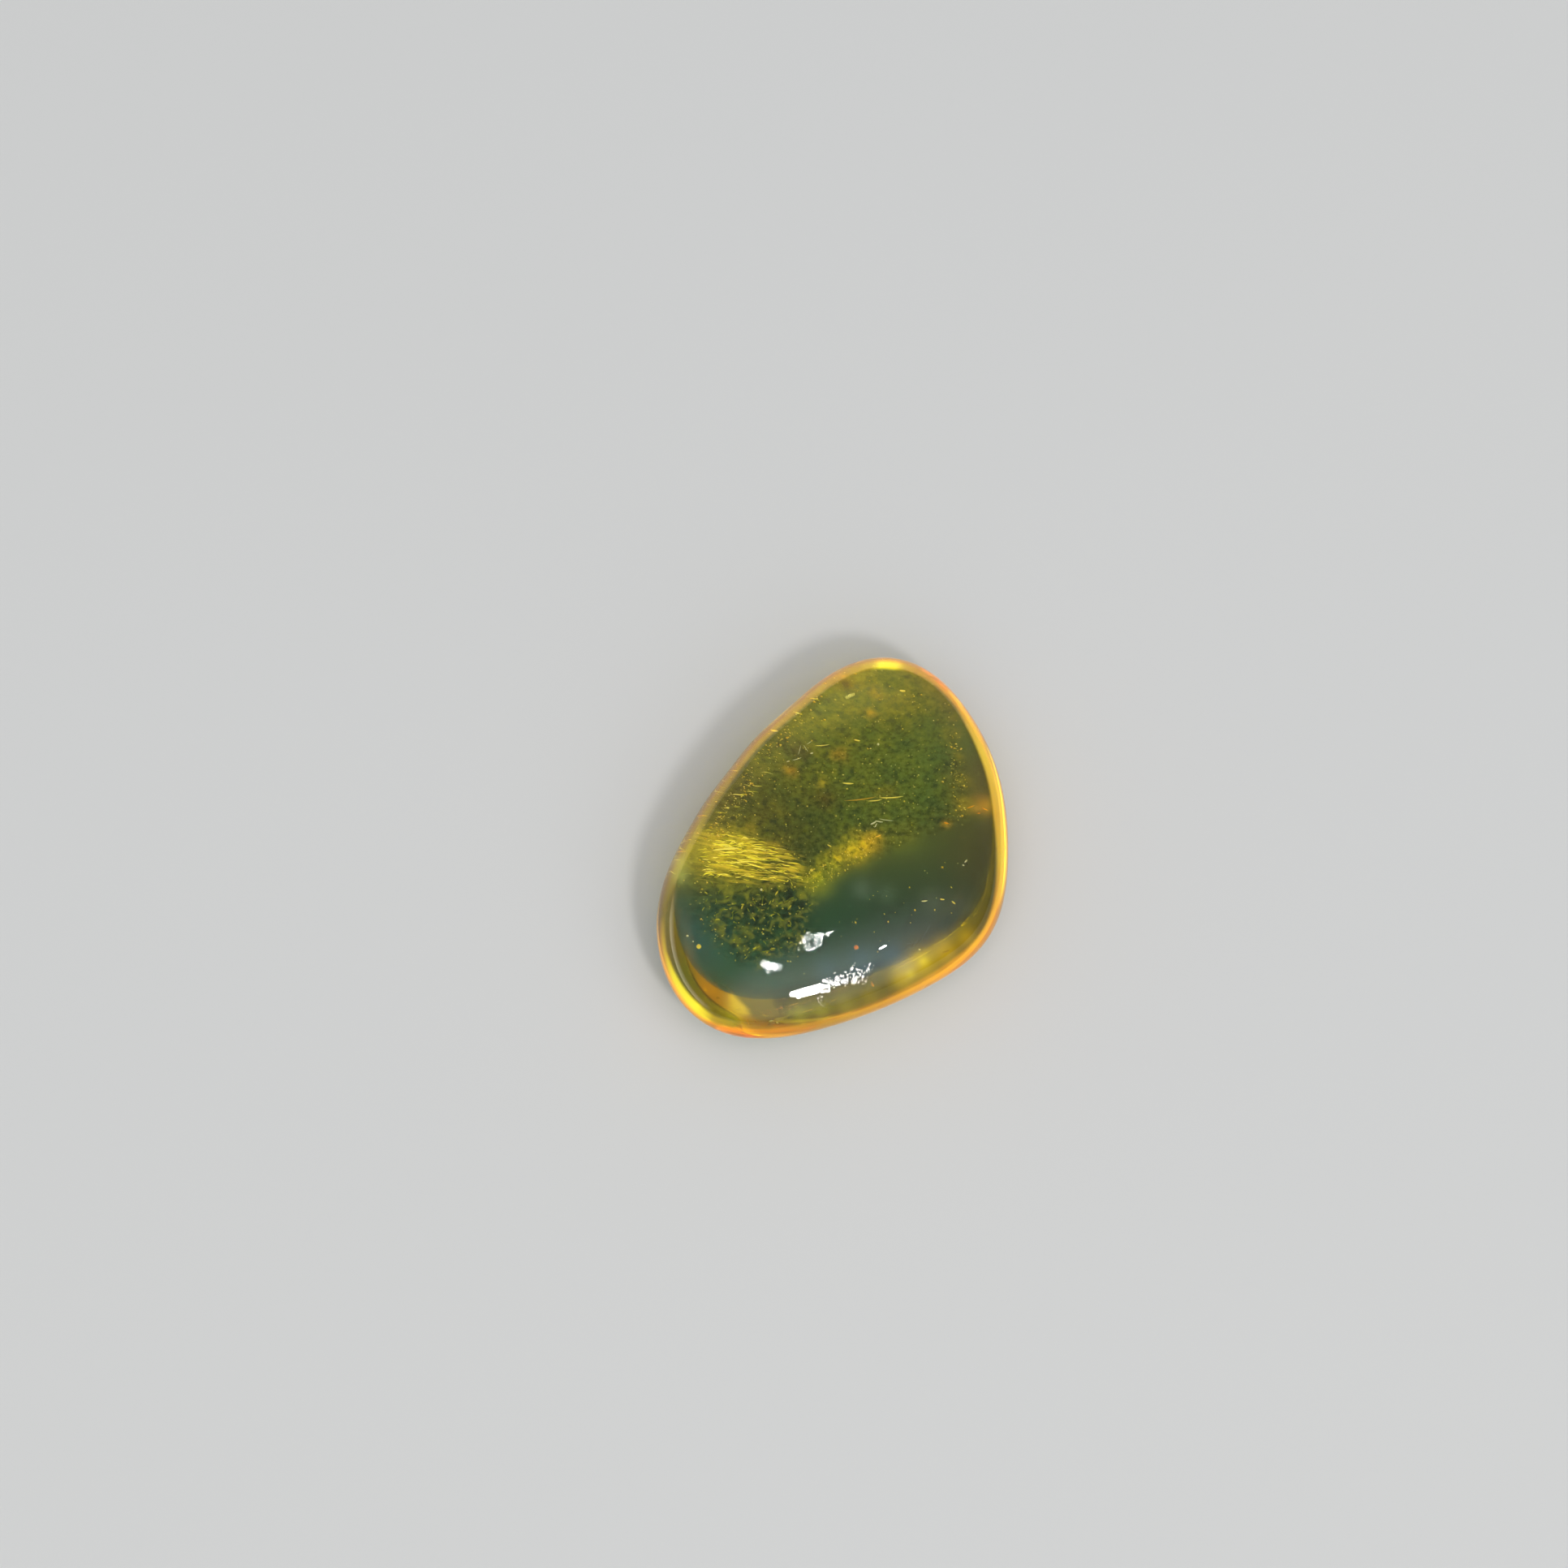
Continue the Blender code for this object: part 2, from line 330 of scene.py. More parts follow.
def outline_radius(angle):
    """The smooth closed curve through the stated radii: their mean plus one wave for each number of lobes."""
    radii = np.array(OUTLINE_RADII_MM) * MM
    waves = np.fft.rfft(radii) / len(radii)
    radius = np.full_like(angle, waves[0].real)
    for lobes in range(1, len(waves)):
        weight = 1.0 if 2 * lobes == len(radii) else 2.0
        radius += weight * (waves[lobes] * np.exp(1j * lobes * angle)).real
    return radius


def girdle(count):
    """The outline's X and Y, moved so that its box is centred on the origin."""
    angle = np.arange(count) * 2 * math.pi / count
    radius = outline_radius(angle)
    outline = np.stack([radius * np.cos(angle), radius * np.sin(angle)], axis=1)
    return outline - (outline.min(axis=0) + outline.max(axis=0)) / 2


GIRDLE = girdle(720)
GIRDLE_ANGLE = np.arctan2(GIRDLE[:, 1], GIRDLE[:, 0])
GIRDLE_RADIUS = np.hypot(GIRDLE[:, 0], GIRDLE[:, 1])


def share_of_girdle(x, y):
    """How far out a point lies, from 0 at the middle to 1 at the girdle."""
    edge = np.interp(np.arctan2(y, x), GIRDLE_ANGLE, GIRDLE_RADIUS, period=2 * math.pi)
    return np.hypot(x, y) / edge


def unevenness(x, y):
    """The height that the slow waves add to the crown, as the mean of their sines."""
    waves = [np.sin(2 * math.pi * (across * x + along * y + phase)) for across, along, phase in WAVES]
    return WAVE_DEPTH * sum(waves) / len(waves)


def crown_height(x, y):
    """The dome's height: a superellipse in section, leaning up towards the broad end, a little uneven."""
    share = np.clip(share_of_girdle(x, y), 0, 1)
    climb = np.sqrt(np.clip(1 - share**CROWN_FULLNESS, 0, 1))
    rise = (THICKNESS - GIRDLE_HEIGHT) * climb * (1 - LEAN_PER_METRE * y)
    return GIRDLE_HEIGHT + rise + unevenness(x, y) * (1 - share**4)


def crown_normal(x, y):
    """The outward direction, from the dome's slope over a tenth of a millimetre."""
    step = 0.05 * MM
    slope_x = (crown_height(x + step, y) - crown_height(x - step, y)) / (2 * step)
    slope_y = (crown_height(x, y + step) - crown_height(x, y - step)) / (2 * step)
    normal = np.stack([-slope_x, -slope_y, np.ones_like(slope_x)], axis=1)
    return normal / np.linalg.norm(normal, axis=1)[:, None]


def underside_height(share):
    """The keel's height at a share of the girdle: none on the belly, then a quarter of a superellipse."""
    out = np.clip((share - BELLY_SHARE) / (1 - BELLY_SHARE), 0, 1)
    return GIRDLE_HEIGHT * (1 - np.sqrt(1 - out**KEEL_FULLNESS))


def crown_hits(pixels):
    """Where the lines of sight through these pixels meet the crown, found by halving a stretch of each line."""
    start = camera_place()
    rays = view_rays(pixels)
    near = (THICKNESS * 1.3 - start[2]) / rays[:, 2]
    far = (GIRDLE_HEIGHT - start[2]) / rays[:, 2]
    for _ in range(HALVINGS):
        middle = (near + far) / 2
        point = start + rays * middle[:, None]
        outside = point[:, 2] > crown_height(point[:, 0], point[:, 1])
        near = np.where(outside, middle, near)
        far = np.where(outside, far, middle)
    return start + rays * far[:, None], rays


def bent_lines(pixels):
    """Where these pixels' lines of sight enter the crown, and the directions that the amber bends them to."""
    points, rays = crown_hits(pixels)
    normal = crown_normal(points[:, 0], points[:, 1])
    facing = -(rays * normal).sum(axis=1)
    bend = 1 / AMBER_IOR
    inward = np.sqrt(1 - bend**2 * (1 - facing**2))
    return points, bend * rays + (bend * facing - inward)[:, None] * normal


def sealed_places(pixels, depth, above=0.0):
    """Points inside the stone that show at these pixels, and the bent lines of sight there. Depth runs from
    0 at the crown to 1 at the underside, along each line; above is metres back from there."""
    points, bent = bent_lines(pixels)
    near = np.zeros(len(points))
    far = points[:, 2] / -bent[:, 2]
    for _ in range(HALVINGS):
        middle = (near + far) / 2
        place = points + bent * middle[:, None]
        inside = place[:, 2] > underside_height(share_of_girdle(place[:, 0], place[:, 1]))
        near = np.where(inside, middle, near)
        far = np.where(inside, far, middle)
    reached = np.maximum(near * depth - above, near * 0.1)
    return points + bent * reached[:, None], bent


def pixels_in(corners, count):
    """Random pixels inside the area with these corners: those of a box whose line to the right crosses
    the area's edge an odd number of times."""
    corners = np.array(corners, float)
    low, high = corners.min(axis=0), corners.max(axis=0)
    found = np.zeros((0, 2))
    while len(found) < count:
        spots = rng.uniform(low, high, (4 * count, 2))
        crossings = np.zeros(len(spots), int)
        for (x0, y0), (x1, y1) in zip(corners, np.roll(corners, -1, axis=0)):
            spans = (y0 > spots[:, 1]) != (y1 > spots[:, 1])
            at = x0 + (spots[:, 1] - y0) / (y1 - y0 + 1e-12) * (x1 - x0)
            crossings += spans & (spots[:, 0] < at)
        found = np.vstack([found, spots[crossings % 2 == 1]])
    return found[:count]


# Meshes


def add_piece(name, points, faces):
    """A smooth mesh object at the origin from an array of points and a list of faces."""
    mesh = bpy.data.meshes.new(name)
    mesh.from_pydata(points.tolist(), [], faces)
    mesh.validate()
    mesh.shade_smooth()
    piece = bpy.data.objects.new(name, mesh)
    bpy.context.scene.collection.objects.link(piece)
    return piece


def band_faces(rings, around):
    """Quads that join each ring of a closed tube to the next, facing outwards."""
    ring, here = np.meshgrid(np.arange(rings - 1), np.arange(around), indexing="ij")
    after = (here + 1) % around
    quads = np.stack([ring * around + here, ring * around + after,
                      (ring + 1) * around + after, (ring + 1) * around + here], axis=-1)
    return quads.reshape(-1, 4).tolist()


def stone_points():
    """Rings from the middle of the belly, out along it, up the keel and over the crown, and two end points."""
    outline = girdle(AROUND)
    belly = BELLY_SHARE * np.linspace(0, 1, BELLY_RINGS + 1)[1:]
    keel_climb = np.linspace(math.pi / 2, 0, KEEL_RINGS + 1)[1:]
    keel = BELLY_SHARE + (1 - BELLY_SHARE) * np.cos(keel_climb) ** (2 / KEEL_FULLNESS)
    keel_height = GIRDLE_HEIGHT * (1 - np.sin(keel_climb))
    crown_climb = np.linspace(0, math.pi / 2, CROWN_RINGS + 1)[1:-1]
    crown = np.cos(crown_climb) ** (2 / CROWN_FULLNESS)
    share = np.concatenate([belly, keel, crown])
    x = np.outer(share, outline[:, 0])
    y = np.outer(share, outline[:, 1])
    low = np.concatenate([np.zeros(BELLY_RINGS), keel_height])
    z = np.concatenate([np.repeat(low[:, None], AROUND, axis=1),
                        crown_height(x[len(low):], y[len(low):])])
    rings = np.stack([x, y, z], axis=-1).reshape(-1, 3)
    summit = [0.0, 0.0, float(crown_height(np.zeros(1), np.zeros(1))[0])]
    return np.vstack([rings, [[0.0, 0.0, 0.0]], [summit]]), len(share)


def smooth_step(low, high, value):
    """From 0 at low to 1 at high along 3t squared less 2t cubed."""
    part = np.clip((value - low) / (high - low), 0, 1)
    return part * part * (3 - 2 * part)


def bell_below(points, pixel, reach):
    """A bell curve, from above, round the place on the underside that shows at a pixel."""
    place = sealed_places([pixel], 1.0)[0][0]
    apart = np.hypot(points[:, 0] - place[0], points[:, 1] - place[1]) / (reach / PIXELS_PER_MM * MM)
    return np.exp(-0.5 * apart**2)[:, None]


def underside_tint(points):
    """The zones' colours, weighed by a bell curve round each zone's place on the underside."""
    total = np.full((len(points), 1), PLAIN_WEIGHT)
    mixed = total * np.array(PLAIN_TINT)
    for pixel, reach, colour in TINT_ZONES:
        weight = bell_below(points, pixel, reach)
        total += weight
        mixed += weight * np.array(colour)
    return mixed / total


def blotted(points, tint):
    """The tint with the small blotches laid over it."""
    for pixel, reach, colour in BLOTCHES:
        weight = bell_below(points, pixel, reach)
        tint = tint * (1 - weight) + np.array(colour) * weight
    return tint


def rim_tint(share):
    """The skin's tint: clear over the dome, dark gold near the rim and orange right at it."""
    gold = smooth_step(*GOLD_SHARES, share)[:, None]
    orange = smooth_step(*ORANGE_SHARES, share)[:, None]
    tint = np.array(CLEAR) * (1 - gold) + np.array(GOLD) * gold
    return tint * (1 - orange) + np.array(ORANGE) * orange


def stone_tint(points):
    """The zones' tints below, up to high on the keel, and the skin's tint above."""
    rise = smooth_step(*SKIN_HEIGHTS, points[:, 2])[:, None]
    skin = rim_tint(share_of_girdle(points[:, 0], points[:, 1]))
    return blotted(points, underside_tint(points)) * (1 - rise) + skin * rise


def depth_in_picture(bearing, radius):
    """How many pixels inside the stone's outline each point shows: how much nearer it is to the picture's
    middle than the outline at its bearing, made less where the outline runs aslant. The outline there is the
    outermost point of each column of the mesh."""
    columns = radius[:-2].reshape(-1, AROUND)
    outermost = columns.argmax(axis=0) * AROUND + np.arange(AROUND)
    order = outermost[np.argsort(bearing[outermost])]
    edge, before, after = [np.interp(bearing + turn, bearing[order], radius[order], period=2 * math.pi)
                           for turn in (0, -SLOPE_STEP, SLOPE_STEP)]
    return (edge - radius) / np.hypot(1, (after - before) / (2 * SLOPE_STEP) / edge)


def painted_rim_light(points):
    """Painted light for the skin's emission: a glow at the rim, even to its depth, where it fades, orange at
    the very edge and yellow further in, over a tail that sinks exponentially. Each painted soft spot adds a
    bell curve of its own."""
    across, down = (in_picture(points) - MIDDLE_PIXEL).T
    bearing = np.arctan2(-down, across)
    depth = depth_in_picture(bearing, np.hypot(across, down))
    rows = np.array(PAINTED_RIM_LIGHT)
    strength, yellowness, reach, tail = [np.interp(np.degrees(bearing), rows[:, 0], column, period=360)
                                         for column in rows[:, 1:].T]
    fading = 1 - smooth_step(reach - RIM_FADE, reach + RIM_FADE, depth)
    light = strength * fading * smooth_step(*RIM_RISE, depth) + tail * np.exp(-depth / RIM_TAIL)
    hue = (yellowness * smooth_step(*RIM_HUES, depth))[:, None]
    colour = (np.array(RIM_ORANGE) * (1 - hue) + np.array(RIM_YELLOW) * hue) * light[:, None]
    shown = np.stack([across, down], axis=1) + MIDDLE_PIXEL
    for pixel, reach, glow in PAINTED_LIGHT_SPOTS:
        apart = np.linalg.norm(shown - pixel, axis=1) / reach
        colour = colour + np.exp(-0.5 * apart**2)[:, None] * np.array(glow)
    return colour * smooth_step(*RIM_HEIGHTS, points[:, 2])[:, None]


def roughness_left(points):
    """How rough the crown is at each point: a bell curve round each rough spot."""
    rough = np.zeros(len(points))
    for pixel, reach, depth in ROUGH_SPOTS:
        place = crown_hits([pixel])[0][0]
        apart = np.linalg.norm(points - place, axis=1) / (reach / PIXELS_PER_MM * MM)
        rough = np.maximum(rough, depth * np.exp(-0.5 * apart**2))
    return rough


def area_share(points, corners, softness):
    """How much of an area's pattern each point of the underside has, from 0 to 1 with a soft edge."""
    edge = sealed_places(np.array(corners, float), 1.0)[0][:, :2]
    inside = np.zeros(len(points), bool)
    nearest = np.full(len(points), 1.0)
    for here, after in zip(edge, np.roll(edge, -1, axis=0)):
        along = after - here
        spans = (here[1] > points[:, 1]) != (after[1] > points[:, 1])
        inside ^= spans & (points[:, 0] < here[0] + (points[:, 1] - here[1]) / (along[1] + 1e-15) * along[0])
        t = np.clip(((points[:, :2] - here) @ along) / (along @ along), 0, 1)
        nearest = np.minimum(nearest, np.linalg.norm(points[:, :2] - here - t[:, None] * along, axis=1))
    signed = np.where(inside, nearest, -nearest)
    below = points[:, 2] < GIRDLE_HEIGHT
    return smooth_step(-softness, softness, signed) * below


def add_colours(mesh, name, colours):
    """An attribute with a colour for each point."""
    layer = mesh.attributes.new(name, "FLOAT_COLOR", "POINT")
    solid = np.column_stack([colours, np.ones(len(colours))])
    layer.data.foreach_set("color", solid.astype(np.float32).ravel())


def add_values(mesh, name, values):
    """An attribute with a number for each point."""
    layer = mesh.attributes.new(name, "FLOAT", "POINT")
    layer.data.foreach_set("value", np.asarray(values, np.float32))


def make_stone():
    """The stone's rings joined by quads, closed by a fan of triangles at each end."""
    points, rings = stone_points()
    faces = band_faces(rings, AROUND)
    bottom, top = len(points) - 2, len(points) - 1
    last = (rings - 1) * AROUND
    for here in range(AROUND):
        after = (here + 1) % AROUND
        faces.append((after, here, bottom))
        faces.append((last + here, last + after, top))
    stone = add_piece("amber_stone", points, faces)
    add_colours(stone.data, "tint", stone_tint(points))
    # Painted light: the glow that the skin's emission shows at the rim and in soft spots further in.
    add_colours(stone.data, "painted_rim_light", painted_rim_light(points))
    add_values(stone.data, "cloud", area_share(points, CLOUD_AREA, 0.8 * MM))
    add_values(stone.data, "scales", area_share(points, SCALES_AREA, 0.9 * MM))
    add_values(stone.data, "streaks", area_share(points, STREAKS_AREA, 0.8 * MM))
    add_values(stone.data, "rough", roughness_left(points))
    return stone


RIBBON_AROUND = 8
RIBBON_STEPS = 7

OCTAHEDRON = (
    np.array([[1, 0, 0], [0, 1, 0], [-1, 0, 0], [0, -1, 0], [0, 0, 1], [0, 0, -1]], float),
    [(0, 1, 4), (1, 2, 4), (2, 3, 4), (3, 0, 4), (1, 0, 5), (2, 1, 5), (3, 2, 5), (0, 3, 5)],
)


def turned(yaw, pitch, roll):
    """Rotation matrices: roll about X, then pitch about Y, then yaw about Z."""
    zero, one = np.zeros_like(yaw), np.ones_like(yaw)
    cy, sy, cp, sp, cr, sr = np.cos(yaw), np.sin(yaw), np.cos(pitch), np.sin(pitch), np.cos(roll), np.sin(roll)
    about_z = np.stack([cy, -sy, zero, sy, cy, zero, zero, zero, one], -1).reshape(-1, 3, 3)
    about_y = np.stack([cp, zero, sp, zero, one, zero, -sp, zero, cp], -1).reshape(-1, 3, 3)
    about_x = np.stack([one, zero, zero, zero, cr, -sr, zero, sr, cr], -1).reshape(-1, 3, 3)
    return about_z @ about_y @ about_x


def scatter(name, form, places, sizes, turns, shades):
    """One mesh of many small closed forms, each at its place with its own size and turn. Shade is its
    place on its material's colour scale."""
    corners, sides = form
    points = np.einsum("nij,npj->npi", turns, corners[None] * sizes[:, None, :]) + places[:, None, :]
    offsets = np.arange(len(places))[:, None, None] * len(corners)
    faces = (np.array(sides)[None] + offsets).reshape(-1, len(sides[0])).tolist()
    piece = add_piece(name, points.reshape(-1, 3), faces)
    add_values(piece.data, "shade", np.repeat(shades, len(corners)))
    return piece


def ribbons(name, paths, widths, depth, above, thickness, shades):
    """Thin tapering ribbons along paths in the picture: each is a tube whose cross-section is a flat
    ellipse, across the path in the picture and thin along the line of sight."""
    count, steps = paths.shape[:2]
    along = np.gradient(paths, axis=1)
    along /= np.linalg.norm(along, axis=2)[:, :, None]
    across = np.stack([-along[..., 1], along[..., 0]], axis=-1)
    turn = np.arange(RIBBON_AROUND) * 2 * math.pi / RIBBON_AROUND
    offset = widths[:, :, None] * np.cos(turn)
    pixels = paths[:, :, None, :] + across[:, :, None, :] * offset[..., None]
    each = steps * RIBBON_AROUND
    places, bent = sealed_places(pixels.reshape(-1, 2), np.repeat(depth, each), np.repeat(above, each))
    full = widths / widths.max(axis=1, keepdims=True)
    thin = thickness[:, None, None] * full[:, :, None] * np.sin(turn)
    points = places + bent * thin.reshape(-1, 1)
    faces = []
    tube = band_faces(steps, RIBBON_AROUND)
    start_cap = tuple(reversed(range(RIBBON_AROUND)))
    end_cap = tuple(range(each - RIBBON_AROUND, each))
    for first in range(0, count * each, each):
        faces += [tuple(corner + first for corner in face) for face in tube + [start_cap, end_cap]]
    piece = add_piece(name, points, faces)
    add_values(piece.data, "shade", np.repeat(shades, each))
    return piece


def bowed_paths(middles, half_lengths, slants, bows):
    """Short paths in the picture, each through its middle at its slant and bowed sideways by a parabola."""
    t = np.linspace(-1, 1, RIBBON_STEPS)[None, :, None]
    along = np.stack([np.cos(slants), np.sin(slants)], axis=1)[:, None, :]
    across = np.stack([-np.sin(slants), np.cos(slants)], axis=1)[:, None, :]
    straight = middles[:, None, :] + along * half_lengths[:, None, None] * t
    return straight + across * bows[:, None, None] * (1 - t**2)


def tapered(half_widths):
    """Half widths along a ribbon: full in the middle and nearly nothing at the ends."""
    t = np.linspace(-1, 1, RIBBON_STEPS)
    return half_widths[:, None] * (0.12 + 0.88 * (1 - t**2) ** 0.7)


def make_grains():
    """The cloud's grains: flat golden crumbs low in the stone, thickest along the cloud's edges and its
    seam, most of them leaning to the front."""
    spots = np.vstack([pixels_in(area, count) for area, count in GRAIN_COUNTS])
    count = len(spots)
    places = sealed_places(spots, np.ones(count), rng.uniform(0.08, 0.7, count) * MM)[0]
    sizes = rng.uniform(0.6, 1.4, (count, 3)) * (0.028 + 0.05 * rng.random((count, 1)) ** 3) * MM
    sizes[:, 2] *= 0.35
    none = np.zeros(count)
    lean = turned(none, rng.normal(0, 0.25, count), rng.normal(0.42, 0.25, count))
    spin = turned(rng.uniform(0, 2 * math.pi, count), none, none)
    return scatter("cloud_grains", OCTAHEDRON, places, sizes, lean @ spin, rng.uniform(0, 1, count))


def make_streaks():
    """Golden splinters lying across the stone where its layers have parted, largest at the heart."""
    middles = np.vstack([pixels_in(area, number) for area, number in STREAK_COUNTS])
    count = len(middles)
    large = np.where(np.arange(count) < HEART_COUNT, 1.5, 1.0)
    lengths = rng.uniform(2.0, 8.5, count) * large
    widths = (0.20 + 0.42 * rng.random(count) ** 2) * large
    slants = np.radians(rng.normal(5, 6, count) + (middles[:, 0] - 920) * 0.12)
    paths = bowed_paths(middles, lengths, slants, rng.normal(-0.6, 0.8, count))
    return ribbons("golden_streaks", paths, tapered(widths), np.ones(count), rng.uniform(0.1, 0.9, count) * MM,
                   widths * 0.03 * MM, rng.uniform(0.2, 1.0, count))


def make_cells():
    """The scaly patch: small bowed slivers along the edges between scattered middles, where a spot is as
    far from its nearest middle as from the next one."""
    middles = pixels_in(SCALES_AREA, NET_MIDDLES)
    spots = pixels_in(SCALES_AREA, NET_SPOTS)
    apart = np.linalg.norm(spots[:, None] - middles[None], axis=2)
    order = np.argsort(apart, axis=1)[:, :2]
    first, second = np.take_along_axis(apart, order, axis=1).T
    kept = np.nonzero(second - first < NET_NEARNESS)[0][:NET_SLIVERS]
    between = middles[order[kept, 1]] - middles[order[kept, 0]]
    slants = np.arctan2(between[:, 0], -between[:, 1])
    count = len(kept)
    paths = bowed_paths(spots[kept], rng.uniform(1.2, 3.6, count), slants, rng.normal(0, 0.6, count))
    widths = rng.uniform(0.35, 0.9, count)
    return ribbons("scaly_net", paths, tapered(widths), np.ones(count), rng.uniform(0.1, 0.6, count) * MM,
                   widths * 0.03 * MM, rng.uniform(0, 1, count))


def make_flecks():
    """The flecks that the photograph shows one by one."""
    pixels, lengths, widths, slants, depths, shades = [np.array(column, float) for column in zip(*FLECKS)]
    paths = bowed_paths(pixels, lengths, np.radians(slants), lengths * 0.06)
    thickness = 0.04 * MM * np.sqrt(widths)
    return ribbons("flecks", paths, tapered(widths), depths, np.zeros(len(pixels)), thickness, shades)


# Materials


def set_stops(ramp, stops):
    """Gives a colour scale these stops, from low to high."""
    while len(ramp.elements) < len(stops):
        ramp.elements.new(1.0)
    for element, (position, colour) in zip(ramp.elements, stops):
        element.position = position
        element.color = (*colour, 1.0)


def attribute(nodes, name):
    """The mesh attribute of this name."""
    node = nodes.new("ShaderNodeAttribute")
    node.attribute_name = name
    return node


def colour_scale(nodes, links, value, stops):
    """A colour for each value, on a scale with these stops."""
    scale = nodes.new("ShaderNodeValToRGB")
    set_stops(scale.color_ramp, stops)
    links.new(value, scale.inputs["Fac"])
    return scale.outputs["Color"]


def noise(nodes, links, vector, scale, detail=3.0, roughness=0.6):
    """A noise over these coordinates, scale waves to a metre."""
    node = nodes.new("ShaderNodeTexNoise")
    node.inputs["Scale"].default_value = scale
    node.inputs["Detail"].default_value = detail
    node.inputs["Roughness"].default_value = roughness
    links.new(vector, node.inputs["Vector"])
    return node


def voronoi(nodes, links, vector, scale, feature="F1"):
    """Cells round scattered points of these coordinates."""
    node = nodes.new("ShaderNodeTexVoronoi")
    node.feature = feature
    node.inputs["Scale"].default_value = scale
    links.new(vector, node.inputs["Vector"])
    return node


def times(nodes, links, first, second):
    """The product of two values."""
    product = nodes.new("ShaderNodeMath")
    product.operation = "MULTIPLY"
    links.new(first, product.inputs[0])
    links.new(second, product.inputs[1])
    return product.outputs["Value"]


def blend(nodes, links, share, first, second):
    """The first colour going over to the second as the share goes from 0 to 1."""
    mix = nodes.new("ShaderNodeMix")
    mix.data_type = "RGBA"
    links.new(share, mix.inputs["Factor"])
    for colour, socket in ((first, mix.inputs["A"]), (second, mix.inputs["B"])):
        if isinstance(colour, tuple):
            socket.default_value = (*colour, 1.0)
        else:
            links.new(colour, socket)
    return mix.outputs["Result"]


def sealed_material(name, stops, roughness, metallic=0.0, glow=0.0):
    """A sealed thing's finish: its shade picks a colour from the stops, which may also glow a little with
    painted light.
    """
    material = bpy.data.materials.new(name)
    material.use_nodes = True
    nodes, links = material.node_tree.nodes, material.node_tree.links
    shader = nodes["Principled BSDF"]
    shader.inputs["Roughness"].default_value = roughness
    shader.inputs["Metallic"].default_value = metallic
    shade = attribute(nodes, "shade").outputs["Fac"]
    colour = colour_scale(nodes, links, shade, stops)
    links.new(colour, shader.inputs["Base Color"])
    if glow:
        links.new(colour, shader.inputs["Emission Color"])
        shader.inputs["Emission Strength"].default_value = glow
    return material


def multiply(nodes, links, first, second):
    """The product of two colours."""
    mix = nodes.new("ShaderNodeMix")
    mix.data_type = "RGBA"
    mix.blend_type = "MULTIPLY"
    mix.inputs["Factor"].default_value = 1.0
    links.new(first, mix.inputs["A"])
    links.new(second, mix.inputs["B"])
    return mix.outputs["Result"]


def rough_normal(nodes, links, place):
    """Small uneven dents, about a third of a millimetre across: a noise times the crown's rough attribute."""
    uneven = nodes.new("ShaderNodeMath")
    uneven.operation = "SUBTRACT"
    uneven.inputs[1].default_value = ROUGH_LEVEL
    links.new(noise(nodes, links, place, ROUGH_SCALE, 2.0).outputs["Fac"], uneven.inputs[0])
    bump = nodes.new("ShaderNodeBump")
    bump.inputs["Strength"].default_value = 1.0
    bump.inputs["Distance"].default_value = ROUGH_DEPTH
    rough = attribute(nodes, "rough").outputs["Fac"]
    links.new(times(nodes, links, rough, uneven.outputs["Value"]), bump.inputs["Height"])
    return bump.outputs["Normal"]


def wavered(nodes, links, place, scale, reach):
    """Object coordinates pushed about by a noise, so that a net drawn on them isn't straight."""
    push = noise(nodes, links, place, scale, 1.0).outputs["Color"]
    centred = nodes.new("ShaderNodeVectorMath")
    centred.operation = "SUBTRACT"
    centred.inputs[1].default_value = (0.5, 0.5, 0.5)
    links.new(push, centred.inputs[0])
    scaled = nodes.new("ShaderNodeVectorMath")
    scaled.operation = "SCALE"
    scaled.inputs["Scale"].default_value = reach
    links.new(centred.outputs["Vector"], scaled.inputs[0])
    moved = nodes.new("ShaderNodeVectorMath")
    links.new(place, moved.inputs[0])
    links.new(scaled.outputs["Vector"], moved.inputs[1])
    return moved.outputs["Vector"]


def streak_pattern(nodes, links, place):
    """A noise drawn out along the streaks, which run across the stone and droop a little to the right."""
    stretch = nodes.new("ShaderNodeMapping")
    stretch.vector_type = "TEXTURE"
    stretch.inputs["Rotation"].default_value = (0, 0, math.radians(-9))
    stretch.inputs["Scale"].default_value = (1.6 * MM, 0.24 * MM, 1.0)
    links.new(wavered(nodes, links, place, 500.0, 0.5 * MM), stretch.inputs["Vector"])
    drawn = noise(nodes, links, stretch.outputs["Vector"], 1.0, 2.0, 0.5).outputs["Fac"]
    return colour_scale(nodes, links, drawn, ((0.47, (0, 0, 0)), (0.62, (1, 1, 1))))


